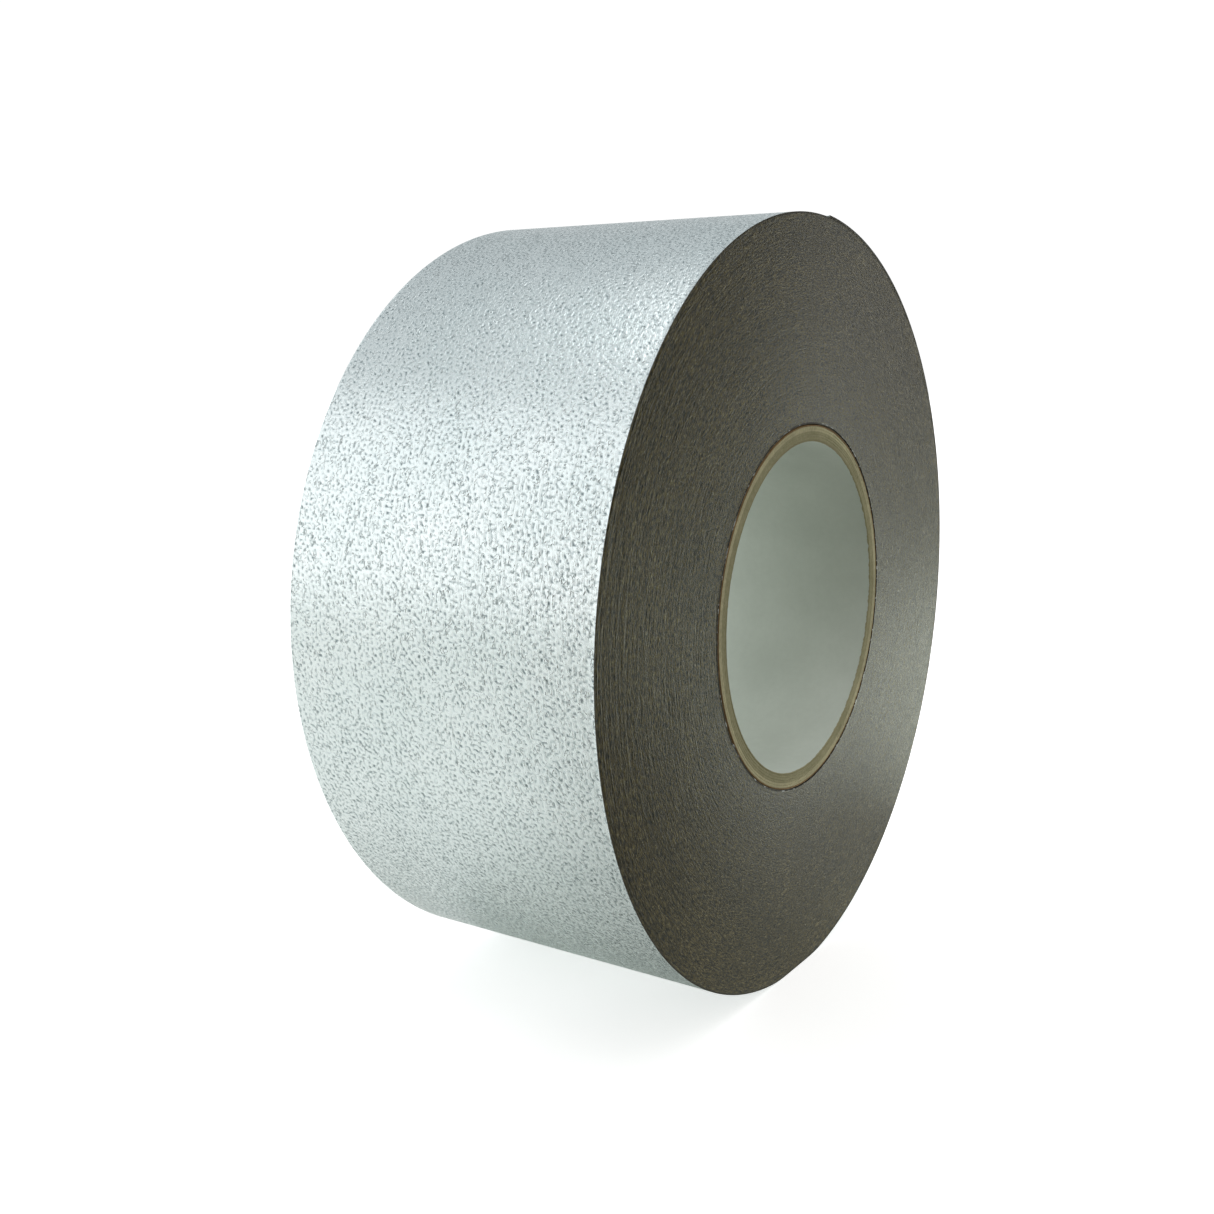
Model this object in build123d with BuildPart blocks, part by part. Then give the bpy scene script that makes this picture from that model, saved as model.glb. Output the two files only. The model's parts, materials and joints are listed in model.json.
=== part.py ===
import os
from math import cos, radians, sin

from build123d import *

# A wide roll of embossed aluminium-foil tape, wound with its release liner on a paperboard core and stood on
# its rim. The roll's axis is Y and +Z is up; the origin is the centre of the core's bore, at mid width. Angles
# are measured in the XZ plane, from +X towards +Z, which is also the way the tape winds outwards.

# Driving dimensions, in millimetres and degrees
TAPE_WIDTH = 75.0
CORE_BORE_DIAMETER = 76.2
BORE_PLY = 0.4           # smooth pale paper that lines the bore
BOARD_PLY = 0.6          # one ply of grey-brown paperboard
BOARD_PLIES = 5
KRAFT_PLY = 0.3          # thin brown ply on the outside of the core
FOIL = 0.18              # aluminium foil, measured over its embossing
ADHESIVE = 0.08          # adhesive, with what fills the hollows of the foil
LINER = 0.12             # siliconised release paper
TURNS = 122              # turns of tape between the core and the rim
START_ANGLE = 215.0      # where the tape begins on the core
START_TAPE_ARC = 40.0    # arc of the strip that fastens the tape's beginning to the core
END_ANGLE = 85.0         # where the tape ends on the rim
BEND_ANGLE = 70.5        # the line where the lifted end bends a second time
ROOT_ANGLE = 56.0        # the line up to which the end lifts
END_SLACK = 0.10         # air under each layer of the free end
LAYER_GAP = 0.10         # air between two pieces of one layer where they bend
FLAT_HALF_ANGLE = 6.0    # half of the arc that is pressed flat where the roll stands
WEDGE_REACH = 1.2        # how far a cutting wedge reaches past the radius that it cuts

# Derived sizes
HALF_WIDTH = TAPE_WIDTH / 2
PITCH = FOIL + ADHESIVE + LINER
BORE_RADIUS = CORE_BORE_DIAMETER / 2
BOARD_RADIUS = BORE_RADIUS + BORE_PLY
KRAFT_RADIUS = BOARD_RADIUS + BOARD_PLIES * BOARD_PLY
CORE_RADIUS = KRAFT_RADIUS + KRAFT_PLY
OUTER_RADIUS = CORE_RADIUS + TURNS * PITCH
STANDING_HEIGHT = (OUTER_RADIUS - PITCH / 2) * cos(radians(FLAT_HALF_ANGLE))


def at_angle(radius, angle):
    """Point at an angle in the plane of the roll's section."""
    return Vector(radius * cos(radians(angle)), radius * sin(radians(angle)))


def turn_area(radius, start_angle):
    """Area inside one turn that grows by a pitch from radius, drawn as two half circles about shifted centres."""
    shift = at_angle(PITCH / 4, start_angle)
    with BuildSketch() as area:
        with BuildLine():
            lower_half = CenterArc(-shift, radius + PITCH / 4, start_angle, 180)
            upper_half = CenterArc(shift, radius + 3 * PITCH / 4, start_angle + 180, 180)
            Line(upper_half @ 1, lower_half @ 0)
        make_face()
    return area.sketch


def rim_area(depth):
    """Area inside the surface that lies depth under the rim, with the flat that the roll stands on."""
    with BuildSketch() as area:
        add(turn_area(OUTER_RADIUS - PITCH - depth, END_ANGLE))
        with Locations((0, depth - STANDING_HEIGHT)):
            Rectangle(2 * OUTER_RADIUS, OUTER_RADIUS, align=(Align.CENTER, Align.MAX), mode=Mode.SUBTRACT)
    return area.sketch


def sector(radius, from_angle, to_angle):
    """Wedge from the roll's axis out past radius."""
    reach = radius * WEDGE_REACH
    middle_angle = (from_angle + to_angle) / 2
    with BuildSketch() as wedge:
        with BuildLine():
            Polyline(
                (0, 0),
                at_angle(reach, from_angle),
                at_angle(reach, middle_angle),
                at_angle(reach, to_angle),
                close=True,
            )
        make_face()
    return wedge.sketch


def end_section(inner_radius, thickness, from_angle, to_angle):
    """Section of one layer of the tape's free end, concentric with the last half turn."""
    centre = at_angle(PITCH / 4, END_ANGLE)
    gap_angle = LAYER_GAP / radians(1) / inner_radius
    arc = to_angle - from_angle - gap_angle
    with BuildSketch() as section:
        with BuildLine():
            outside = CenterArc(centre, inner_radius + thickness, from_angle + gap_angle, arc)
            inside = CenterArc(centre, inner_radius, from_angle + gap_angle, arc)
            Line(outside @ 0, inside @ 0)
            Line(outside @ 1, inside @ 1)
        make_face()
    return section.sketch


os.makedirs("parts", exist_ok=True)

# Core: pale paper ply around the bore
with BuildPart() as core_bore_ply:
    with BuildSketch(Plane.XZ):
        Circle(BOARD_RADIUS)
        Circle(BORE_RADIUS, mode=Mode.SUBTRACT)
    extrude(amount=HALF_WIDTH, both=True)
core_bore_ply.part.label = "core_bore_ply"
export_step(core_bore_ply.part, "parts/core_bore_ply.step")

# Core: paperboard plies, from the bore outwards
for ply in range(BOARD_PLIES):
    ply_radius = BOARD_RADIUS + ply * BOARD_PLY
    with BuildPart() as core_board_ply:
        with BuildSketch(Plane.XZ):
            Circle(ply_radius + BOARD_PLY)
            Circle(ply_radius, mode=Mode.SUBTRACT)
        extrude(amount=HALF_WIDTH, both=True)
    core_board_ply.part.label = f"core_board_ply_{ply + 1}"
    export_step(core_board_ply.part, f"parts/core_board_ply_{ply + 1}.step")

# Core: thin kraft ply on the outside
with BuildPart() as core_kraft_ply:
    with BuildSketch(Plane.XZ):
        Circle(CORE_RADIUS)
        Circle(KRAFT_RADIUS, mode=Mode.SUBTRACT)
    extrude(amount=HALF_WIDTH, both=True)
core_kraft_ply.part.label = "core_kraft_ply"
export_step(core_kraft_ply.part, "parts/core_kraft_ply.step")

# Strip that fastens the beginning of the tape to the core, where the liner has been taken off
with BuildPart() as start_tape:
    with BuildSketch(Plane.XZ):
        add(turn_area(CORE_RADIUS + LINER, START_ANGLE))
        add(sector(CORE_RADIUS, START_ANGLE, START_ANGLE + START_TAPE_ARC), mode=Mode.INTERSECT)
        Circle(CORE_RADIUS, mode=Mode.SUBTRACT)
    extrude(amount=HALF_WIDTH, both=True)
start_tape.part.label = "start_tape"
export_step(start_tape.part, "parts/start_tape.step")

# First turn: liner, which begins after the start tape
with BuildPart() as first_turn_liner:
    with BuildSketch(Plane.XZ):
        add(turn_area(CORE_RADIUS + LINER, START_ANGLE))
        add(turn_area(CORE_RADIUS, START_ANGLE), mode=Mode.SUBTRACT)
        add(sector(CORE_RADIUS, START_ANGLE, START_ANGLE + START_TAPE_ARC), mode=Mode.SUBTRACT)
    extrude(amount=HALF_WIDTH, both=True)
first_turn_liner.part.label = "first_turn_liner"
export_step(first_turn_liner.part, "parts/first_turn_liner.step")

# First turn: adhesive
with BuildPart() as first_turn_adhesive:
    with BuildSketch(Plane.XZ):
        add(turn_area(CORE_RADIUS + LINER + ADHESIVE, START_ANGLE))
        add(turn_area(CORE_RADIUS + LINER, START_ANGLE), mode=Mode.SUBTRACT)
    extrude(amount=HALF_WIDTH, both=True)
first_turn_adhesive.part.label = "first_turn_adhesive"
export_step(first_turn_adhesive.part, "parts/first_turn_adhesive.step")

# First turn: foil
with BuildPart() as first_turn_foil:
    with BuildSketch(Plane.XZ):
        add(turn_area(CORE_RADIUS + PITCH, START_ANGLE))
        add(turn_area(CORE_RADIUS + LINER + ADHESIVE, START_ANGLE), mode=Mode.SUBTRACT)
    extrude(amount=HALF_WIDTH, both=True)
first_turn_foil.part.label = "first_turn_foil"
export_step(first_turn_foil.part, "parts/first_turn_foil.step")

# All the turns between the first and the last, as one body with a step where each of those two joins it
with BuildPart() as wound_turns:
    with BuildSketch(Plane.XZ):
        add(rim_area(PITCH))
        add(turn_area(CORE_RADIUS + PITCH, START_ANGLE), mode=Mode.SUBTRACT)
    extrude(amount=HALF_WIDTH, both=True)
wound_turns.part.label = "wound_turns"
export_step(wound_turns.part, "parts/wound_turns.step")

# Last turn up to the free end: liner
with BuildPart() as last_turn_liner:
    with BuildSketch(Plane.XZ):
        add(rim_area(FOIL + ADHESIVE))
        add(rim_area(PITCH), mode=Mode.SUBTRACT)
        add(sector(OUTER_RADIUS, ROOT_ANGLE, END_ANGLE), mode=Mode.SUBTRACT)
    extrude(amount=HALF_WIDTH, both=True)
last_turn_liner.part.label = "last_turn_liner"
export_step(last_turn_liner.part, "parts/last_turn_liner.step")

# Last turn up to the free end: adhesive
with BuildPart() as last_turn_adhesive:
    with BuildSketch(Plane.XZ):
        add(rim_area(FOIL))
        add(rim_area(FOIL + ADHESIVE), mode=Mode.SUBTRACT)
        add(sector(OUTER_RADIUS, ROOT_ANGLE, END_ANGLE), mode=Mode.SUBTRACT)
    extrude(amount=HALF_WIDTH, both=True)
last_turn_adhesive.part.label = "last_turn_adhesive"
export_step(last_turn_adhesive.part, "parts/last_turn_adhesive.step")

# Last turn up to the free end: foil
with BuildPart() as last_turn_foil:
    with BuildSketch(Plane.XZ):
        add(rim_area(0))
        add(rim_area(FOIL), mode=Mode.SUBTRACT)
        add(sector(OUTER_RADIUS, ROOT_ANGLE, END_ANGLE), mode=Mode.SUBTRACT)
    extrude(amount=HALF_WIDTH, both=True)
last_turn_foil.part.label = "last_turn_foil"
export_step(last_turn_foil.part, "parts/last_turn_foil.step")

# Free end of the tape. It lifts about a line on its outer surface at ROOT_ANGLE, and bends again at BEND_ANGLE.
# The liner lifts half as far or less, so the two part like the legs of a V.
LINER_END_RADIUS = OUTER_RADIUS - PITCH / 4 - PITCH + END_SLACK
ADHESIVE_END_RADIUS = LINER_END_RADIUS + LINER + END_SLACK
FOIL_END_RADIUS = ADHESIVE_END_RADIUS + ADHESIVE
END_STRETCHES = {"end": (ROOT_ANGLE, BEND_ANGLE), "tip": (BEND_ANGLE, END_ANGLE)}
END_LAYERS = {
    "foil": (FOIL_END_RADIUS, FOIL),
    "adhesive": (ADHESIVE_END_RADIUS, ADHESIVE),
    "liner": (LINER_END_RADIUS, LINER),
}
for stretch, (from_angle, to_angle) in END_STRETCHES.items():
    for layer, (layer_radius, thickness) in END_LAYERS.items():
        with BuildPart() as end_piece:
            with BuildSketch(Plane.XZ):
                add(end_section(layer_radius, thickness, from_angle, to_angle))
            extrude(amount=HALF_WIDTH, both=True)
        end_piece.part.label = f"{layer}_{stretch}"
        export_step(end_piece.part, f"parts/{layer}_{stretch}.step")

# Hinge lines of the free end and the height of the standing flat, for the record
end_centre = at_angle(PITCH / 4, END_ANGLE)
for line, hinge_radius, hinge_angle in (
    ("foil root", FOIL_END_RADIUS + FOIL, ROOT_ANGLE),
    ("foil bend", FOIL_END_RADIUS + FOIL, BEND_ANGLE),
    ("liner root", LINER_END_RADIUS + LINER, ROOT_ANGLE),
    ("liner bend", LINER_END_RADIUS + LINER, BEND_ANGLE),
):
    gap_angle = LAYER_GAP / radians(1) / hinge_radius
    hinge = end_centre + at_angle(hinge_radius, hinge_angle + gap_angle)
    print(f"{line} hinge line: x {hinge.X:.4f}, z {hinge.Y:.4f}")
print(f"rim radius {OUTER_RADIUS:.3f}, standing height {STANDING_HEIGHT:.4f}")
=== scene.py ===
import json
import math

import bpy
import numpy as np
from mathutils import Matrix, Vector


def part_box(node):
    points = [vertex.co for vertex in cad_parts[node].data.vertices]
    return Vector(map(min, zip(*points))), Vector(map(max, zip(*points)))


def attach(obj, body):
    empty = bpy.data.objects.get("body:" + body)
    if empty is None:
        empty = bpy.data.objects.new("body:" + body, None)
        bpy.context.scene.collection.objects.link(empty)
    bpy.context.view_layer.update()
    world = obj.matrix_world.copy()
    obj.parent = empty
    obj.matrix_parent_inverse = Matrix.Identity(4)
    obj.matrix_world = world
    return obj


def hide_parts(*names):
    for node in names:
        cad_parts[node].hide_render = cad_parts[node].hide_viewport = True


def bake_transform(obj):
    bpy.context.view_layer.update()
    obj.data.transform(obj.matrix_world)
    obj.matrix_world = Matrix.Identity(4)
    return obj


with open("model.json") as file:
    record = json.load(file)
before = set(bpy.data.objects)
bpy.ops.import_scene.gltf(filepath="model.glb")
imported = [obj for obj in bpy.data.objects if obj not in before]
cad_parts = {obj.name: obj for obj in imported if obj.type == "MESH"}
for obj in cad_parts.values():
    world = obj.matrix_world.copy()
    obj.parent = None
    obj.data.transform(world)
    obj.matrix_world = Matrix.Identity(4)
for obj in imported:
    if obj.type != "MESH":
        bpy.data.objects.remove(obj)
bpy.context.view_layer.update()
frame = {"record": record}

# Sizes in metres and angles in degrees. The roll's axis is Y; angles run from +X towards +Z.
MM = 0.001
mounts = {mount["name"]: mount for mount in frame["record"]["mounts"]}
HALF_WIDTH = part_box("wound_turns")[1].y
FLOOR_HEIGHT = mounts["standing_flat"]["pos_m"][2]
BORE_RADIUS = mounts["core_bore"]["dims"]["r_mm"] * MM
BORE_PLY = 0.4 * MM
BOARD_PLY = 0.6 * MM
BOARD_PLIES = 5
PALE_PLIES = 2                # the outermost board plies are of a paler board
KRAFT_PLY = 0.3 * MM
FOIL = 0.18 * MM
ADHESIVE = 0.08 * MM
LINER = 0.12 * MM
PITCH = FOIL + ADHESIVE + LINER
TURNS = 122
START_ANGLE = 215             # where the strip starts, on the core
START_TAPE_ARC = 40
END_ANGLE = 85                # where the strip ends, on the rim
ROOT_ANGLE = 56               # where the free end leaves the rim
STRIP_START = ROOT_ANGLE - 6  # the tread runs on under the free end, back to here
SHEET_SPLIT_ANGLE = 67.5      # the free end's pieces meet here
BOARD_RADIUS = BORE_RADIUS + BORE_PLY
KRAFT_RADIUS = BOARD_RADIUS + BOARD_PLIES * BOARD_PLY
CORE_RADIUS = KRAFT_RADIUS + KRAFT_PLY
RIM_RADIUS = CORE_RADIUS + TURNS * PITCH
FLAT_EASE = 0.4 * MM          # rounds the corners of the flat that the roll stands on
EDGE_EASE = 0.6 * MM          # the embossing fades out over this width at the strip's cut edges
EMBOSS_STEP = 0.35 * MM       # size of the relief's quads
EMBOSS_WAVE = 1.15 * MM       # usual distance between pebbles
EMBOSS_SPREAD = 0.42          # how much that distance varies
EMBOSS_SLOPE = 1.3
EMBOSS_FULLNESS = 0.75        # over 0, the pebbles are wider than the grooves between them
EMBOSS_DEPTH = 0.15 * MM
EMBOSSED_LENGTH = math.radians(400) * RIM_RADIUS   # a little more than the tread and the free end take

rng = np.random.default_rng(7)


# ---------------------------------------------------------------- mesh code

def ring_point(radius, angle, y):
    """Points at a radius and an angle in degrees about the roll's axis; the arguments broadcast."""
    radius, angle, y = np.broadcast_arrays(radius, np.radians(angle), y)
    return np.stack([radius * np.cos(angle), y, radius * np.sin(angle)], -1)


def grid_quads(rows, columns, first=0):
    """Quads of a grid of vertices stored row by row."""
    corner = first + np.arange(rows - 1)[:, None] * columns + np.arange(columns - 1)[None, :]
    return np.stack([corner, corner + 1, corner + columns + 1, corner + columns], -1).reshape(-1, 4)


def boundary_edges(quads):
    """Edges that only one quad uses, in that quad's direction."""
    edges = np.concatenate([quads[:, [i, (i + 1) % 4]] for i in range(4)])
    edges = edges[edges[:, 0] != edges[:, 1]]
    keys = edges.min(1) * (quads.max() + 1) + edges.max(1)
    _, where, count = np.unique(keys, return_index=True, return_counts=True)
    return edges[where[count == 1]]


def new_piece(name, points, faces, material, uv=None, emboss=None, flat_edges=None):
    """A mesh object with smooth faces, and a UV map in metres and an emboss attribute if they are given."""
    mesh = bpy.data.meshes.new(name)
    mesh.from_pydata(points.reshape(-1, 3), [], faces)
    mesh.validate()
    mesh.shade_smooth()
    if uv is not None:
        corner_vertex = np.zeros(len(mesh.loops), np.int32)
        mesh.loops.foreach_get("vertex_index", corner_vertex)
        layer = mesh.uv_layers.new(name="Strip")
        layer.data.foreach_set("uv", uv.reshape(-1, 2)[corner_vertex].astype(np.float32).ravel())
    if emboss is not None:
        layer = mesh.attributes.new("emboss", "FLOAT", "POINT")
        layer.data.foreach_set("value", emboss.astype(np.float32).ravel())
    if flat_edges is not None:
        mesh.set_sharp_from_angle(angle=math.radians(flat_edges))
    mesh.materials.append(material)
    piece = bpy.data.objects.new(name, mesh)
    bpy.context.scene.collection.objects.link(piece)
    return piece


def closed_plate(name, top, bottom, quads, material, uv=None, emboss=None, flat_edges=40):
    """A closed piece between two sheets of the same quads, with walls along their edges."""
    count = len(top.reshape(-1, 3))
    edges = boundary_edges(quads)
    walls = np.stack([edges[:, 1], edges[:, 0], edges[:, 0] + count, edges[:, 1] + count], -1)
    faces = np.concatenate([quads, quads[:, ::-1] + count, walls])
    points = np.concatenate([top.reshape(-1, 3), bottom.reshape(-1, 3)])
    uv = None if uv is None else np.concatenate([uv.reshape(-1, 2)] * 2)
    emboss = None if emboss is None else np.concatenate([emboss.ravel(), emboss.ravel()])
    return new_piece(name, points, faces, material, uv, emboss, flat_edges)


def smooth_noise(count, spacing, strength):
    """Values along a line that wander smoothly, with bends about spacing values apart."""
    knots = rng.normal(size=count // spacing + 4)
    at = np.arange(count) / spacing
    index, part = at.astype(int), at - at.astype(int)
    part = part * part * (3 - 2 * part)
    return strength * (knots[index] * (1 - part) + knots[index + 1] * part)


def closed_noise(count, waves, strength):
    """Values round a circle that wander smoothly and meet at the ends."""
    angle = np.linspace(0, 2 * math.pi, count, endpoint=False)
    total = np.zeros(count)
    for wave in range(1, waves + 1):
        size, phase = rng.normal(), rng.uniform(0, 2 * math.pi)
        total += size * np.cos(wave * angle + phase) / math.sqrt(waves)
    return strength * total


def finish_piece(piece, body, slot, *nodes):
    """Puts a piece on its body, in place of its CAD nodes."""
    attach(piece, body)
    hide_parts(*nodes)


# ---------------------------------------------------------------- the rim's shape

def rim_radius(angle):
    """The foil's outer surface over the last turn, which ends at END_ANGLE."""
    return RIM_RADIUS - PITCH + PITCH * (angle - END_ANGLE) / 360


def pressed_flat(radius, angle, depth=0.0):
    """A radius, less where the roll's weight presses it flat, depth above the floor, with eased corners."""
    down = np.maximum(-np.sin(np.radians(angle)), 1e-3)
    limit = (-FLOOR_HEIGHT - depth) / down
    ease = np.clip(1 - np.abs(radius - limit) / FLAT_EASE, 0, 1)
    return np.minimum(radius, limit) - ease**2 * FLAT_EASE / 4


def emboss_field():
    """Height of the embossing, 0 to 1, on a grid along and across the strip: pebbles and narrow grooves."""
    rows = int(EMBOSSED_LENGTH / EMBOSS_STEP) + 2
    columns = int(round(2 * HALF_WIDTH / EMBOSS_STEP)) + 1
    waves = np.fft.rfft2(rng.normal(size=(rows, columns)))
    along = np.fft.fftfreq(rows, EMBOSS_STEP)[:, None]
    across = np.fft.rfftfreq(columns, EMBOSS_STEP)[None, :]
    frequency = np.sqrt(along**2 + across**2) * EMBOSS_WAVE
    field = np.fft.irfft2(waves * np.exp(-(((frequency - 1) / EMBOSS_SPREAD) ** 2)), s=(rows, columns))
    return 0.5 + 0.5 * np.tanh(EMBOSS_SLOPE * field / field.std() + EMBOSS_FULLNESS)


EMBOSS = emboss_field()


def foil_grid(from_angle, to_angle):
    """Angles, widths, emboss heights and UV of a stretch of the strip. Its angles run on past a turn."""
    step_angle = math.degrees(EMBOSS_STEP / RIM_RADIUS)
    first = int(round((from_angle - STRIP_START) / step_angle))
    last = int(round((to_angle - STRIP_START) / step_angle))
    angle = STRIP_START + np.arange(first, last + 1) * step_angle
    y = np.linspace(-HALF_WIDTH, HALF_WIDTH, EMBOSS.shape[1])
    angle, y = np.meshgrid(angle, y, indexing="ij")
    uv = np.stack([np.radians(angle) * RIM_RADIUS, y], -1)
    return angle, y, EMBOSS[first:last + 1], uv


def edge_ease(y):
    """1 inside the strip, falling to 0 at its cut edges, which lie flat."""
    inside = np.clip((HALF_WIDTH - np.abs(y)) / EDGE_EASE, 0, 1)
    return inside * inside * (3 - 2 * inside)


# ---------------------------------------------------------------- materials

WHITE = (1.0, 1.0, 1.0)
FACE_SHIFT = 40.0    # sets the two end faces' patterns apart
CUT_EDGE = (0.050, 0.043, 0.022)    # the dark film of adhesive on every cut edge


def new_material(name):
    """A material, its node tree and its shader."""
    material = bpy.data.materials.new(name)
    material.use_nodes = True
    tree = material.node_tree
    return material, tree, tree.nodes["Principled BSDF"]


def set_input(tree, socket, value):
    """Links a socket to another one, or gives it a value."""
    if isinstance(value, bpy.types.NodeSocket):
        tree.links.new(value, socket)
    else:
        socket.default_value = value


def set_inputs(tree, target, **inputs):
    """Links or values for a node's inputs, by name with _ for a space, or by number as i0, i1 and so on."""
    for key, value in inputs.items():
        numbered = key[0] == "i" and key[1:].isdigit()
        set_input(tree, target.inputs[int(key[1:]) if numbered else key.replace("_", " ")], value)


def node(tree, kind, settings=None, **inputs):
    """A new node with its settings and its inputs."""
    new = tree.nodes.new(kind)
    for key, value in (settings or {}).items():
        setattr(new, key, value)
    set_inputs(tree, new, **inputs)
    return new


def noise(tree, vector, scale, detail=3.0, roughness=0.55, distortion=0.0):
    """Smooth random values, mostly between 0.3 and 0.7."""
    return node(tree, "ShaderNodeTexNoise", Vector=vector, Scale=scale, Detail=detail, Roughness=roughness,
                Distortion=distortion).outputs["Fac"]


def ramp(tree, factor, stops):
    """A colour ramp through (position, (r, g, b)) stops."""
    new = node(tree, "ShaderNodeValToRGB", Fac=factor)
    elements = new.color_ramp.elements
    while len(elements) < len(stops):
        elements.new(0.5)
    for element, (position, colour) in zip(elements, stops):
        element.position = position
        element.color = (*colour, 1)
    return new.outputs["Color"]


def mix(tree, factor, a, b, kind="MIX"):
    """Two colours mixed; each of them, and the factor, is a socket or a value."""
    new = tree.nodes.new("ShaderNodeMix")
    new.data_type = "RGBA"
    new.blend_type = kind
    for socket, value in zip((new.inputs[0], new.inputs[6], new.inputs[7]), (factor, a, b)):
        plain = isinstance(value, (int, float, bpy.types.NodeSocket))
        set_input(tree, socket, value if plain else (*value, 1))
    return new.outputs[2]


def remap(tree, value, from_min, from_max, to_min, to_max):
    """A value moved from one range to another, and held inside it."""
    new = node(tree, "ShaderNodeMapRange", Value=value, i1=from_min, i2=from_max, i3=to_min, i4=to_max)
    return new.outputs["Result"]


def math_node(tree, kind, a, b=0.0):
    return node(tree, "ShaderNodeMath", {"operation": kind}, i0=a, i1=b).outputs[0]


def add(tree, a, b):
    return math_node(tree, "ADD", a, b)


def multiply(tree, a, b):
    return math_node(tree, "MULTIPLY", a, b)


def vector_node(tree, kind, *vectors):
    """Output sockets of a vector operation, which are Vector and Value."""
    inputs = {f"i{index}": vector for index, vector in enumerate(vectors)}
    return node(tree, "ShaderNodeVectorMath", {"operation": kind}, **inputs).outputs


def component(tree, vector, index):
    """One of a vector's three components."""
    return node(tree, "ShaderNodeSeparateXYZ", Vector=vector).outputs[index]


def bump(tree, height, distance, strength=1.0):
    return node(tree, "ShaderNodeBump", Height=height, Distance=distance, Strength=strength).outputs["Normal"]


def scaled(tree, vector, x, y, z):
    return vector_node(tree, "MULTIPLY", vector, (x, y, z))["Vector"]


def object_place(tree):
    return node(tree, "ShaderNodeTexCoord").outputs["Object"]


def winding_vector(tree, around, outwards):
    """Coordinates that follow the turns: around for each radian along them, outwards for each metre across."""
    place = node(tree, "ShaderNodeSeparateXYZ", Vector=object_place(tree))
    x, y, z = place.outputs
    flat = node(tree, "ShaderNodeCombineXYZ", X=x, Y=z).outputs[0]
    radius = vector_node(tree, "LENGTH", flat)["Value"]
    unit = node(tree, "ShaderNodeSeparateXYZ", Vector=vector_node(tree, "NORMALIZE", flat)["Vector"])
    side = math_node(tree, "MULTIPLY_ADD", math_node(tree, "SIGN", y), FACE_SHIFT)
    return node(tree, "ShaderNodeCombineXYZ", X=multiply(tree, unit.outputs[0], around),
                Y=multiply(tree, unit.outputs[1], around),
                Z=add(tree, multiply(tree, radius, outwards), side)).outputs[0]


def cut_edge(tree):
    """1 on faces that look along the roll's axis, which are cut edges of the tape, and 0 elsewhere."""
    normal = node(tree, "ShaderNodeNewGeometry").outputs["True Normal"]
    sideways = math_node(tree, "ABSOLUTE", component(tree, normal, 1))
    return remap(tree, sideways, 0.6, 0.8, 0, 1)


def foil_material():
    """Embossed aluminium: cool pale metal, rougher in the grooves and darkened there with painted shade, with thin
    creases that also carry painted shade, and fine lines.
    """
    material, tree, shader = new_material("embossed_foil")
    uv = node(tree, "ShaderNodeUVMap", {"uv_map": "Strip"}).outputs[0]
    height = node(tree, "ShaderNodeAttribute", {"attribute_name": "emboss"}).outputs["Fac"]
    clouds = noise(tree, scaled(tree, uv, 45, 45, 1), 1.0, 3)
    lines = noise(tree, scaled(tree, uv, 60, 2500, 1), 1.0, 2)
    grain = noise(tree, scaled(tree, uv, 2600, 2600, 1), 1.0, 3)
    folds = noise(tree, scaled(tree, uv, 780, 780, 1), 1.0, 1)
    breaks = noise(tree, scaled(tree, uv, 520, 900, 1), 1.0, 1)
    from_fold = math_node(tree, "ABSOLUTE", math_node(tree, "SUBTRACT", folds, 0.5))
    fold_line = remap(tree, from_fold, 0.0, 0.030, 1, 0)
    crease = multiply(tree, fold_line, remap(tree, breaks, 0.50, 0.56, 0, 1))
    # Colour by emboss height: the grooves' dark colour is painted shade, not the metal's own colour.
    groove, slope, pebble = (0.22, 0.27, 0.28), (0.60, 0.67, 0.68), (0.79, 0.85, 0.85)
    metal = ramp(tree, height, [(0.05, groove), (0.30, slope), (0.70, pebble)])
    # The creases are darkened with painted shade.
    metal = mix(tree, multiply(tree, crease, 0.8), metal, (0.40, 0.46, 0.47))
    tint = mix(tree, remap(tree, clouds, 0.3, 0.7, 0, 1), (0.93, 0.95, 0.95), WHITE)
    surface = mix(tree, 1.0, metal, tint, "MULTIPLY")
    cut = cut_edge(tree)
    polish = add(tree, remap(tree, height, 0, 1, 0.38, 0.24), remap(tree, lines, 0.3, 0.7, -0.03, 0.03))
    fine_relief = add(tree, grain, multiply(tree, lines, 0.3))
    relief = add(tree, multiply(tree, height, 1.5), fine_relief)
    relief = math_node(tree, "SUBTRACT", relief, multiply(tree, crease, 2.0))
    set_inputs(tree, shader, Base_Color=mix(tree, cut, surface, CUT_EDGE),
               Metallic=remap(tree, cut, 0, 1, 1.0, 0.0),
               Roughness=add(tree, polish, multiply(tree, cut, 0.3)),
               Normal=bump(tree, relief, 0.03 * MM))
    return material


def plain_foil_material():
    """Cut edge of the first turn's foil: bright bare metal, dulled in places."""
    material, tree, shader = new_material("foil_edge")
    marks = noise(tree, winding_vector(tree, 30, 900), 1.0, 3)
    colour = ramp(tree, marks, [(0.56, (0.05, 0.045, 0.03)), (0.68, (0.60, 0.62, 0.60))])
    set_inputs(tree, shader, Base_Color=colour,
               Roughness=remap(tree, marks, 0.3, 0.7, 0.5, 0.3),
               Metallic=0.9)
    return material


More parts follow.
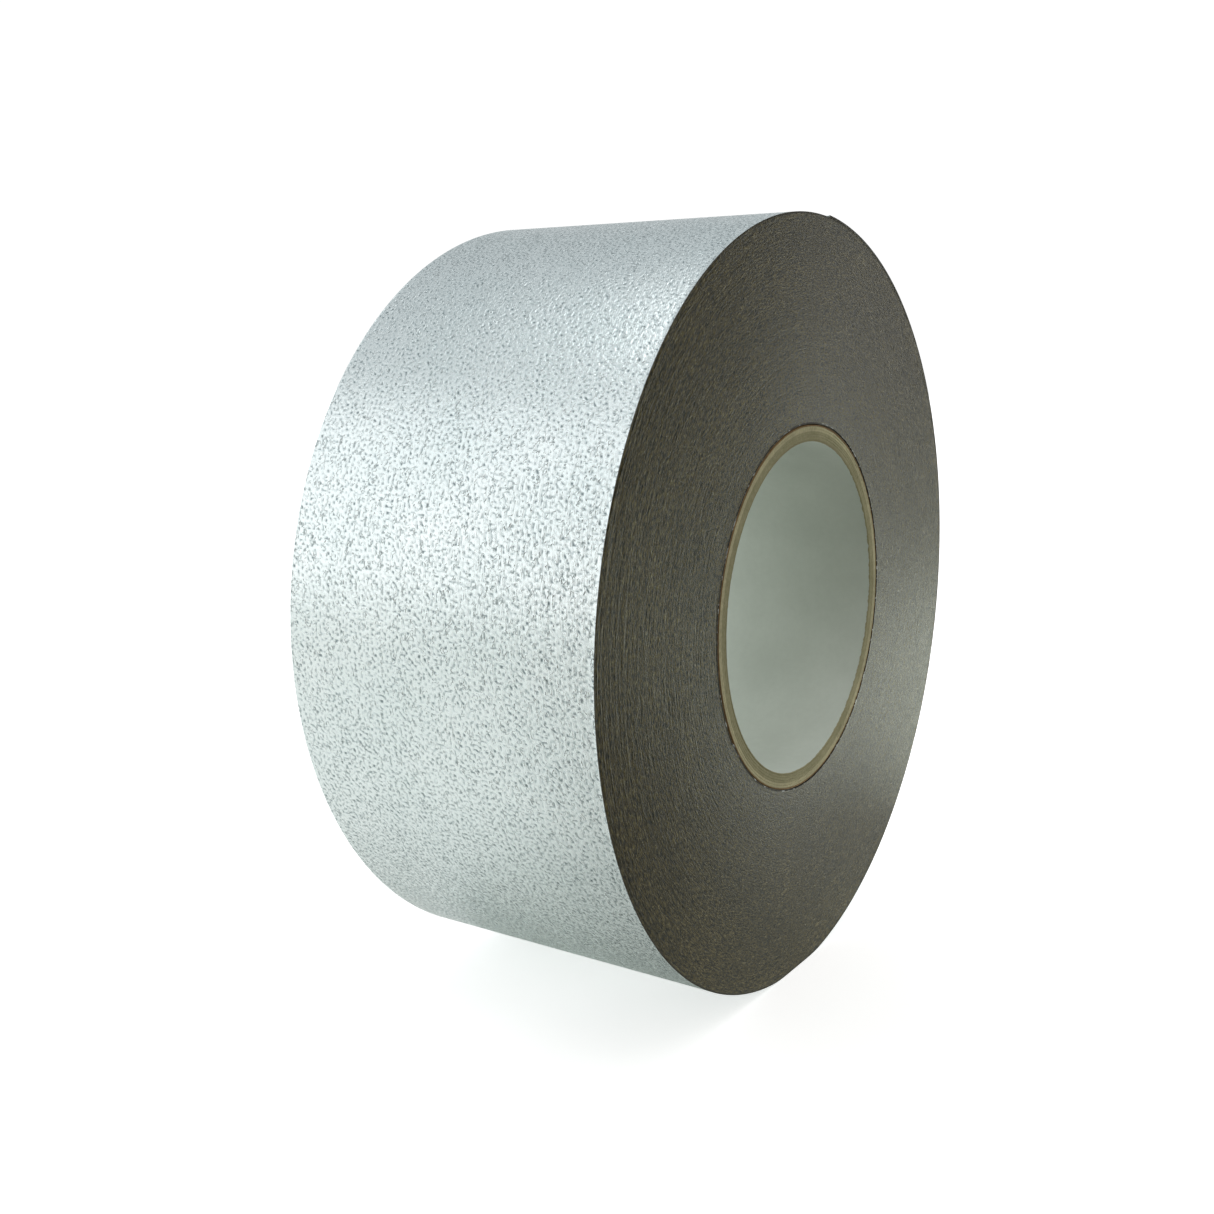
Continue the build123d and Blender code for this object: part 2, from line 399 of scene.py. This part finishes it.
def winding_material():
    """Cut edges of foil, adhesive and liner: dark olive brown with short streaks along the turns."""
    material, tree, shader = new_material("wound_edges")
    streaks = noise(tree, winding_vector(tree, 60, 3400), 1.0, 3, 0.65)
    fine = noise(tree, winding_vector(tree, 160, 4200), 1.0, 2, 0.6)
    clouds = noise(tree, winding_vector(tree, 2.2, 120), 1.0, 3)
    colour = ramp(tree, streaks, [(0.38, (0.004, 0.002, 0.001)), (0.48, (0.050, 0.038, 0.010)),
                                  (0.57, (0.110, 0.084, 0.028)), (0.67, (0.26, 0.23, 0.12))])
    flecks = ramp(tree, fine, [(0.60, (0, 0, 0)), (0.70, (0.12, 0.12, 0.085))])
    colour = mix(tree, 1.0, colour, flecks, "ADD")
    shade = ramp(tree, clouds, [(0.3, (0.80, 0.78, 0.74)), (0.7, (1.15, 1.12, 1.08))])
    tangent = node(tree, "ShaderNodeTangent", {"direction_type": "RADIAL", "axis": "Y"}).outputs[0]
    set_inputs(tree, shader, Base_Color=mix(tree, 1.0, colour, shade, "MULTIPLY"),
               Roughness=remap(tree, streaks, 0.3, 0.7, 0.36, 0.24),
               Normal=bump(tree, add(tree, streaks, fine), 0.07 * MM),
               IOR=1.42,
               Specular_Tint=(0.86, 1.0, 0.80, 1),
               Anisotropic=0.4,
               Anisotropic_Rotation=0.25,
               Tangent=tangent)
    return material


def board_material(name, dark, pale, roughness=0.85, fibre=1.0):
    """Paper or board with fibres and soft blotches."""
    material, tree, shader = new_material(name)
    place = object_place(tree)
    fibres = noise(tree, scaled(tree, place, 1400, 1400, 1400), 1.0, 4, 0.65, 0.6)
    blotches = noise(tree, scaled(tree, place, 110, 110, 110), 1.0, 3)
    both = add(tree, multiply(tree, fibres, 0.6), multiply(tree, blotches, 0.4))
    set_inputs(tree, shader, Base_Color=ramp(tree, both, [(0.36, dark), (0.64, pale)]),
               Roughness=remap(tree, fibres, 0.3, 0.7, roughness - 0.07, roughness + 0.07),
               Normal=bump(tree, fibres, 0.06 * fibre * MM),
               Specular_IOR_Level=0.3)
    return material


def bore_material():
    """Smooth pale paper that lines the bore, and its torn brown-grey fibres at the cut ends."""
    material, tree, shader = new_material("bore_paper")
    place = object_place(tree)
    fibres = noise(tree, scaled(tree, place, 700, 700, 700), 1.0, 4, 0.6)
    blotches = noise(tree, scaled(tree, place, 60, 60, 60), 1.0, 3)
    both = add(tree, multiply(tree, fibres, 0.3), multiply(tree, blotches, 0.7))
    paper = ramp(tree, both, [(0.35, (0.65, 0.70, 0.64)), (0.65, (0.72, 0.77, 0.71))])
    along = math_node(tree, "ABSOLUTE", component(tree, place, 1))
    ragged = node(tree, "ShaderNodeMath", {"operation": "MULTIPLY_ADD"},
                  i0=fibres, i1=0.8 * MM, i2=along).outputs[0]
    torn = remap(tree, ragged, HALF_WIDTH - 0.05 * MM, HALF_WIDTH + 0.05 * MM, 0, 1)
    set_inputs(tree, shader, Base_Color=mix(tree, torn, paper, (0.38, 0.345, 0.20)),
               Roughness=remap(tree, fibres, 0.3, 0.7, 0.66, 0.80),
               Normal=bump(tree, both, 0.03 * MM),
               Specular_IOR_Level=0.3)
    return material


def adhesive_material():
    """Clear acrylic adhesive on the back of the foil: a glossy, slightly yellow grey."""
    material, tree, shader = new_material("acrylic_adhesive")
    place = object_place(tree)
    clouds = noise(tree, scaled(tree, place, 160, 160, 160), 1.0, 3)
    ripples = noise(tree, scaled(tree, place, 650, 650, 650), 1.0, 2)
    coat = ramp(tree, clouds, [(0.35, (0.50, 0.50, 0.45)), (0.65, (0.60, 0.60, 0.54))])
    set_inputs(tree, shader, Base_Color=mix(tree, cut_edge(tree), coat, CUT_EDGE),
               Roughness=remap(tree, clouds, 0.3, 0.7, 0.16, 0.26),
               Normal=bump(tree, ripples, 0.05 * MM),
               Metallic=0.35)
    return material


def liner_material():
    """Siliconised release paper: tan, smooth, with a low gloss."""
    material, tree, shader = new_material("release_liner")
    place = object_place(tree)
    fibres = noise(tree, scaled(tree, place, 900, 900, 900), 1.0, 4, 0.6)
    clouds = noise(tree, scaled(tree, place, 60, 60, 60), 1.0, 2)
    colour = ramp(tree, fibres, [(0.35, (0.44, 0.37, 0.24)), (0.65, (0.52, 0.45, 0.31))])
    shade = ramp(tree, clouds, [(0.35, (0.94, 0.94, 0.94)), (0.65, WHITE)])
    paper = mix(tree, 1.0, colour, shade, "MULTIPLY")
    set_inputs(tree, shader, Base_Color=mix(tree, cut_edge(tree), paper, CUT_EDGE),
               Roughness=remap(tree, fibres, 0.3, 0.7, 0.38, 0.50),
               Normal=bump(tree, fibres, 0.01 * MM))
    return material


DARK_SIDE = (-0.423, -0.906, 0.0)    # the unlit side of the studio
PATCH_HEADING = (1.0, 0.0, 0.0)           # the patch of light lies this way
GREY_TOP = (0.602, 0.502, 0.622)     # a grey part of the ceiling, behind the roll
PATCH_ORIGIN = (-0.05, -HALF_WIDTH, 0)
PATCH_STRENGTH = 2.9
PATCH_EDGE = (-0.052, -0.036)        # the patch fades out between these y, in front of the end face


def dot_product(tree, a, b):
    return vector_node(tree, "DOT_PRODUCT", a, b)["Value"]


def floor_patch(tree, place):
    """Brightness of a painted patch of light, where the floor glows at the right front, which gives the end face
    its sheen.
    """
    from_origin = vector_node(tree, "SUBTRACT", place, PATCH_ORIGIN)["Vector"]
    heading = vector_node(tree, "NORMALIZE", from_origin)["Vector"]
    fan = remap(tree, dot_product(tree, heading, PATCH_HEADING), 0.88, 0.96, 0.0, PATCH_STRENGTH)
    fade = remap(tree, vector_node(tree, "LENGTH", place)["Value"], 0.45, 0.90, 1.0, 0.15)
    in_front = remap(tree, component(tree, place, 1), *PATCH_EDGE, 1, 0)
    return multiply(tree, multiply(tree, fan, fade), in_front)


def floor_material():
    """Matt white board. The camera sees it evenly white; to the object it is dim on the unlit side, as painted
    shade, and it glows with painted light in a patch at the right front and faintly on its lit side.
    """
    material, tree, shader = new_material("white_floor")
    place = object_place(tree)
    white = ramp(tree, noise(tree, place, 900, 2), [(0.3, (0.93, 0.93, 0.93)), (0.7, (0.95, 0.95, 0.95))])
    lit = remap(tree, dot_product(tree, place, DARK_SIDE), 0.02, 0.12, 1, 0)
    shaded = ramp(tree, lit, [(0.0, (0.11, 0.105, 0.08)), (1.0, (0.94, 0.94, 0.94))])
    seen = node(tree, "ShaderNodeLightPath").outputs["Is Camera Ray"]
    # Painted light: the floor glows in the patch and on its lit side.
    glow = add(tree, floor_patch(tree, place), multiply(tree, lit, 0.20))
    set_inputs(tree, shader, Base_Color=mix(tree, seen, shaded, white),
               Roughness=0.9,
               Specular_IOR_Level=0.1,
               Emission_Color=mix(tree, seen, (0.93, 1.0, 0.89), WHITE),
               Emission_Strength=add(tree, multiply(tree, seen, 0.42), glow))
    return material


FOIL_FINISH = foil_material()
PLAIN_FOIL_FINISH = plain_foil_material()
WINDING_FINISH = winding_material()
ADHESIVE_FINISH = adhesive_material()
LINER_FINISH = liner_material()
BORE_FINISH = bore_material()
DARK_BOARD_FINISH = board_material("grey_board", (0.37, 0.345, 0.20), (0.54, 0.505, 0.31))
PALE_BOARD_FINISH = board_material("tan_board", (0.52, 0.485, 0.30), (0.76, 0.71, 0.46))
KRAFT_FINISH = board_material("kraft_paper", (0.22, 0.14, 0.06), (0.42, 0.27, 0.12), 0.7)
START_TAPE_FINISH = board_material("start_tape", (0.40, 0.38, 0.30), (0.50, 0.48, 0.40), 0.5, 0.3)


# ---------------------------------------------------------------- core

TUBE_COLUMNS = 360
TUBE_WAVES = 9            # slow waves round a ply's cut end
PLY_CORNER = 0.05 * MM


def tube(name, inner_radius, outer_radius, set_back, roughness, material, slot, *nodes):
    """One ply of the core, with slightly uneven cut ends that stand set_back inside the tape's edge."""
    columns = TUBE_COLUMNS
    angle = np.linspace(0, 360, columns, endpoint=False)
    corner = min(PLY_CORNER, (outer_radius - inner_radius) / 5)
    rows = []
    for side in (-1, 1):
        end = HALF_WIDTH - set_back + closed_noise(columns, TUBE_WAVES, roughness * 0.5)
        end = end + rng.normal(size=columns) * roughness * 0.35
        ring = [
            (inner_radius, end - corner * 2),
            (inner_radius + corner, end),
            ((inner_radius + outer_radius) / 2, end + rng.normal(size=columns) * roughness * 0.3),
            (outer_radius - corner, end),
            (outer_radius, end - corner * 2),
        ]
        ring = [ring_point(radius, angle, side * y) for radius, y in ring]
        rows += ring if side == -1 else ring[::-1]
    points = np.stack(rows)
    index = np.arange(len(rows) * columns).reshape(len(rows), columns)
    index = np.concatenate([index, index[:1]])
    index = np.concatenate([index, index[:, :1]], 1)
    quads = np.stack([index[:-1, :-1], index[:-1, 1:], index[1:, 1:], index[1:, :-1]], -1).reshape(-1, 4)
    finish_piece(new_piece(name, points, quads, material, flat_edges=50), "roll", slot, *nodes)


def build_core():
    """The bore's paper, the board plies and the kraft ply. Each ply out from the bore stands out a little more."""
    tube("bore_lining", BORE_RADIUS, BOARD_RADIUS, 0.10 * MM, 0.05 * MM,
         BORE_FINISH, "bore_paper", "core_bore_ply")
    for ply in range(BOARD_PLIES):
        inner_radius = BOARD_RADIUS + ply * BOARD_PLY
        set_back = (0.12 - 0.02 * ply) * MM
        pale = ply >= BOARD_PLIES - PALE_PLIES
        material, slot = (PALE_BOARD_FINISH, "board_pale") if pale else (DARK_BOARD_FINISH, "board_dark")
        tube(f"board_ply_{ply + 1}", inner_radius, inner_radius + BOARD_PLY, set_back, 0.04 * MM,
             material, slot, f"core_board_ply_{ply + 1}")
    tube("kraft_ply", KRAFT_RADIUS, CORE_RADIUS, 0.0, 0.03 * MM,
         KRAFT_FINISH, "kraft_paper", "core_kraft_ply")


# ---------------------------------------------------------------- bands: thin layers seen edge on

def band(name, inner, outer, from_angle, to_angle, half_width, material, slot, node_name):
    """A thin layer of the roll between two radii that are functions of the angle."""
    count = int(abs(to_angle - from_angle)) + 1
    angle = np.linspace(from_angle, to_angle, count)
    sheets = []
    for radius in (outer(angle), inner(angle)):
        edges = [ring_point(radius, angle, side * half_width) for side in (-1, 1)]
        sheets.append(np.stack(edges, 1))
    piece = closed_plate(name, sheets[0], sheets[1], grid_quads(count, 2), material)
    finish_piece(piece, "roll", slot, node_name)


def core_surface(angle):
    return np.full_like(angle, CORE_RADIUS)


def first_turn_radius(depth):
    """Radius of a surface of the first turn, depth above its underside, as a function of the angle."""
    return lambda angle: CORE_RADIUS + PITCH * (angle - START_ANGLE) / 360 + depth


def last_turn_radius(depth):
    """Radius of a surface of the last turn, depth under the rim, as a function of the angle."""
    return lambda angle: pressed_flat(rim_radius(angle) - depth, angle, depth)


def build_layers():
    """The start tape, and the layers of the first and the last turn apart from the last turn's foil."""
    first_end = START_ANGLE + 360
    start_tape_end = START_ANGLE + START_TAPE_ARC
    band("start_strip", core_surface, first_turn_radius(LINER), START_ANGLE, start_tape_end,
         HALF_WIDTH - 0.4 * MM, START_TAPE_FINISH, "start_tape", "start_tape")
    band("first_turn_paper", first_turn_radius(0), first_turn_radius(LINER), start_tape_end, first_end,
         HALF_WIDTH - 0.15 * MM, LINER_FINISH, "liner_paper", "first_turn_liner")
    band("first_turn_glue", first_turn_radius(LINER), first_turn_radius(LINER + ADHESIVE),
         START_ANGLE, first_end, HALF_WIDTH - 0.2 * MM, ADHESIVE_FINISH, "adhesive", "first_turn_adhesive")
    band("first_turn_metal", first_turn_radius(LINER + ADHESIVE), first_turn_radius(PITCH),
         START_ANGLE, first_end, HALF_WIDTH + 0.05 * MM, PLAIN_FOIL_FINISH, "foil", "first_turn_foil")
    last_root = ROOT_ANGLE + 360
    band("last_turn_paper", last_turn_radius(PITCH), last_turn_radius(FOIL + ADHESIVE), END_ANGLE, last_root,
         HALF_WIDTH - 0.02 * MM, LINER_FINISH, "liner_paper", "last_turn_liner")
    band("last_turn_glue", last_turn_radius(FOIL + ADHESIVE), last_turn_radius(FOIL), END_ANGLE, last_root,
         HALF_WIDTH - 0.07 * MM, ADHESIVE_FINISH, "adhesive", "last_turn_adhesive")


# ---------------------------------------------------------------- wound turns

COLUMNS_PER_TURN = 180
PRESSED_DEPTH = 20 * MM       # the flat that the roll stands on fades out over this depth
LOOSE_DEPTH = 3 * MM          # the outermost turns are less even
TREAD_GAP = 0.02 * MM         # keeps the turns clear of the tread's first stretch
CREST_SHARE = 0.55            # where a turn's crest lies, between the grooves beside it
GROOVE_DEPTH = 0.035 * MM
WANDER = 0.004 * MM           # how far the turns' edges wander smoothly
JITTER = 0.010 * MM           # and from point to point


def build_winding():
    """The turns between the first and the last: one closed body, its ends spirals of grooves and crests."""
    per_turn = COLUMNS_PER_TURN
    inner_radius = CORE_RADIUS + PITCH
    outer_radius = RIM_RADIUS - 2 * PITCH
    sweep = (END_ANGLE - START_ANGLE) % 360
    turns = TURNS - 4 + sweep / 360
    columns = int(round(turns * per_turn))
    pitch = (outer_radius - inner_radius) / turns
    column = np.arange(columns + per_turn + 1)
    angle = START_ANGLE + column * 360 / per_turn
    radius = inner_radius + pitch * column / per_turn
    pressed = np.clip((radius - RIM_RADIUS + PRESSED_DEPTH) / PRESSED_DEPTH, 0, 1)
    radius -= pressed * (radius - pressed_flat(radius, angle, RIM_RADIUS - PITCH / 2 - radius))
    under_tread = len(column) - 1 - column <= (END_ANGLE - STRIP_START) * per_turn / 360
    radius[under_tread] -= FOIL + TREAD_GAP
    middle = radius[:columns + 1] + CREST_SHARE * (radius[per_turn:] - radius[:columns + 1])
    looseness = 1 + 2.5 * np.clip((radius - RIM_RADIUS + LOOSE_DEPTH) / LOOSE_DEPTH, 0, 1)
    sheets = []
    for side in (-1, 1):
        wander = smooth_noise(len(column), 40, WANDER) + rng.normal(size=len(column)) * JITTER
        wander = np.clip(wander * looseness, -0.15 * MM, 0.12 * MM)
        groove = ring_point(radius, angle, side * (HALF_WIDTH - GROOVE_DEPTH + wander * 0.7))
        crest = ring_point(middle, angle[:columns + 1], side * (HALF_WIDTH + wander[:columns + 1]))
        sheets.append(np.concatenate([groove, crest]))
    at = np.arange(columns)
    crest_at = at + len(column)
    inner_half = np.stack([at, at + 1, crest_at + 1, crest_at], -1)
    outer_half = np.stack([crest_at, crest_at + 1, at + per_turn + 1, at + per_turn], -1)
    quads = np.concatenate([inner_half, outer_half])
    piece = closed_plate("wound_edges", sheets[0], sheets[1], quads, WINDING_FINISH, flat_edges=60)
    finish_piece(piece, "roll", "wound_edge", "wound_turns")


# ---------------------------------------------------------------- last turn of foil and the free end

FOIL_TIP_LIFT = 0.10 * MM
LINER_TIP_LIFT = 0.04 * MM
COAT_GAP = 0.01 * MM          # between the foil and its adhesive
SHEET_GAP = 0.02 * MM         # between the adhesive and the liner, and under the liner
LEAST_FOIL = 0.05 * MM
COAT_WIDTH = 0.999            # the adhesive's width, as a share of the foil's
COAT_STRIDE = 2               # the smooth layers use every second or third row and column of the foil's grid
LINER_STRIDE = 3


def build_tread():
    """The last turn of foil. It starts under the free end, where the turn below shows when the end lifts."""
    angle, y, height, uv = foil_grid(STRIP_START, ROOT_ANGLE + 360)
    radius = rim_radius(angle) - EMBOSS_DEPTH * (1 - height) * edge_ease(y)
    radius = pressed_flat(radius, angle)
    rows, columns = angle.shape
    top = ring_point(radius, angle, y)
    edge_angle = angle[:, [0, -1]]
    under_radius = pressed_flat(rim_radius(edge_angle) - FOIL, edge_angle, FOIL)
    under = ring_point(under_radius, edge_angle, y[:, [0, -1]])
    first_under = rows * columns
    low = first_under + 2 * np.arange(rows)
    high = low + 1
    left = np.arange(rows) * columns
    right = left + columns - 1
    faces = grid_quads(rows, columns)[:, ::-1].tolist()
    faces += np.stack([low[:-1], low[1:], high[1:], high[:-1]], -1)[:, ::-1].tolist()
    faces += np.stack([left[:-1], left[1:], low[1:], low[:-1]], -1).tolist()
    faces += np.stack([right[1:], right[:-1], high[:-1], high[1:]], -1).tolist()
    faces.append([int(low[0]), int(high[0])] + list(range(columns - 1, -1, -1)))
    last_row = (rows - 1) * columns
    faces.append([int(high[-1]), int(low[-1])] + list(range(last_row, last_row + columns)))
    points = np.concatenate([top.reshape(-1, 3), under.reshape(-1, 3)])
    uv = np.concatenate([uv.reshape(-1, 2), uv[:, [0, -1]].reshape(-1, 2)])
    height = np.concatenate([height.ravel(), np.ones(2 * rows)])
    piece = new_piece("foil_tread", points, faces, FOIL_FINISH, uv, height, flat_edges=70)
    finish_piece(piece, "roll", "foil", "last_turn_foil")


def end_lift(angle, tip_lift):
    """How far a layer of the free end stands off at rest, rising from its root to its tip."""
    along = np.clip((angle - ROOT_ANGLE - 360) / (END_ANGLE - ROOT_ANGLE), 0, 1)
    return tip_lift * along**2


def blend_over(piece, body_a, body_b, joint_name, slot, node_name):
    """Bakes a piece's place into its mesh and hides its CAD node."""
    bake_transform(piece)
    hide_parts(node_name)


def thinned(stride, *grids):
    """Every stride-th row and column of each grid."""
    return [grid[::stride, ::stride] for grid in grids]


def smooth_layer(name, outside, thickness, stride, angle, y, uv, material):
    """A layer of the free end without embossing, under a surface at the radius outside."""
    outside, angle, y, uv = thinned(stride, outside, angle, y, uv)
    return closed_plate(name, ring_point(outside, angle, y), ring_point(outside - thickness, angle, y),
                        grid_quads(*angle.shape)[:, ::-1], material, uv)


def build_free_end():
    """Foil, adhesive and liner of the free end, each in two pieces that meet where it stays straight."""
    stretches = (
        ("end", ROOT_ANGLE, SHEET_SPLIT_ANGLE,
         ("roll", "foil_end", "foil_end_lift"), ("roll", "liner_end", "liner_end_lift")),
        ("tip", SHEET_SPLIT_ANGLE, END_ANGLE,
         ("foil_end", "foil_tip", "foil_tip_bend"), ("liner_end", "liner_tip", "liner_tip_bend")),
    )
    for stretch, from_angle, to_angle, foil_joint, liner_joint in stretches:
        angle, y, height, uv = foil_grid(from_angle + 360, to_angle + 360)
        outside = rim_radius(angle) + end_lift(angle, FOIL_TIP_LIFT)
        relief = EMBOSS_DEPTH * (1 - height) * edge_ease(y)
        thickness = np.maximum(FOIL - relief, LEAST_FOIL)
        foil = closed_plate(f"foil_{stretch}_sheet", ring_point(outside - relief, angle, y),
                            ring_point(outside - relief - thickness, angle, y),
                            grid_quads(*angle.shape)[:, ::-1], FOIL_FINISH, uv, height, 70)
        blend_over(foil, *foil_joint, "foil", f"foil_{stretch}")
        adhesive = smooth_layer(f"adhesive_{stretch}_coat", outside - FOIL - COAT_GAP, ADHESIVE, COAT_STRIDE,
                                angle, y * COAT_WIDTH, uv, ADHESIVE_FINISH)
        blend_over(adhesive, *foil_joint, "adhesive", f"adhesive_{stretch}")
        liner_top = rim_radius(angle) - FOIL - ADHESIVE - SHEET_GAP + end_lift(angle, LINER_TIP_LIFT)
        liner = smooth_layer(f"liner_{stretch}_sheet", liner_top, LINER - SHEET_GAP, LINER_STRIDE,
                             angle, y, uv, LINER_FINISH)
        blend_over(liner, *liner_joint, "liner_paper", f"liner_{stretch}")


# ---------------------------------------------------------------- stage, light and camera

FLOOR_SIZE = 6.0              # half of its width
WORLD_STRENGTH = 1.04
SUN_SPREAD = 60
CAMERA_PLACE = (-0.2862, -0.1695, 0.0551)
CAMERA_YAW = 33.08            # degrees from +X towards +Y
CAMERA_PITCH = -9.96
CAMERA_LENS = 40.92           # millimetres, on the sensor's width
CAMERA_SENSOR = 36
CAMERA_CLIP = 0.01


def build_stage():
    """The floor that the roll stands on."""
    signs = ((-1, -1), (1, -1), (1, 1), (-1, 1))
    corners = np.array([(x * FLOOR_SIZE, y * FLOOR_SIZE, FLOOR_HEIGHT) for x, y in signs])
    floor = new_piece("floor", corners, [[0, 1, 2, 3]], floor_material())


def facing(tree, direction, side):
    """0 to 1, for how far a direction points to a side of the studio."""
    return remap(tree, dot_product(tree, direction, side), -1, 1, 0, 1)


def build_world():
    """A white studio that darkens upwards, with a dim side. The camera sees it evenly white."""
    world = bpy.data.worlds.new("studio")
    bpy.context.scene.world = world
    world.use_nodes = True
    tree = world.node_tree
    direction = node(tree, "ShaderNodeTexCoord").outputs["Generated"]
    height = remap(tree, component(tree, direction, 2), -1, 1, 0, 1)
    white = ramp(tree, height, [(0.60, WHITE), (0.80, (0.86, 0.88, 0.89)), (1.0, (0.74, 0.76, 0.77))])
    grey = ramp(tree, facing(tree, direction, GREY_TOP), [(0.74, WHITE), (0.95, (0.62, 0.64, 0.65))])
    white = mix(tree, 1.0, white, grey, "MULTIPLY")
    shade = ramp(tree, facing(tree, direction, DARK_SIDE), [(0.45, WHITE), (0.50, (0.085, 0.080, 0.058))])
    lit = mix(tree, 1.0, white, shade, "MULTIPLY")
    seen = node(tree, "ShaderNodeLightPath").outputs["Is Camera Ray"]
    set_inputs(tree, tree.nodes["Background"], Color=mix(tree, seen, lit, WHITE), Strength=WORLD_STRENGTH)


def add_sun(name, towards, strength):
    """Soft light from a far, wide source in the direction towards."""
    light = bpy.data.lights.new(name, "SUN")
    light.energy = strength
    light.angle = math.radians(SUN_SPREAD)
    lamp = bpy.data.objects.new(name, light)
    lamp.rotation_euler = Vector(towards).to_track_quat("Z", "Y").to_euler()
    bpy.context.scene.collection.objects.link(lamp)


def build_camera():
    """The photograph's camera, as fitted to the outlines of both rims and of the core."""
    data = bpy.data.cameras.new("camera")
    data.lens = CAMERA_LENS
    data.sensor_width = CAMERA_SENSOR
    data.clip_start = CAMERA_CLIP
    camera = bpy.data.objects.new("camera", data)
    camera.location = CAMERA_PLACE
    camera.rotation_euler = (math.radians(90 + CAMERA_PITCH), 0, math.radians(CAMERA_YAW - 90))
    bpy.context.scene.collection.objects.link(camera)
    bpy.context.scene.camera = camera


build_camera()
build_core()
build_layers()
build_winding()
build_tread()
build_free_end()
build_stage()
build_world()
add_sun("key_light", (-0.72, 0.60, 0.36), 0.25)
add_sun("ceiling_light", (0.0, 0.0, 1.0), 1.0)
add_sun("fill_light", (-0.1, -0.75, 0.65), 0.6)
bpy.context.scene.view_settings.view_transform = "Standard"
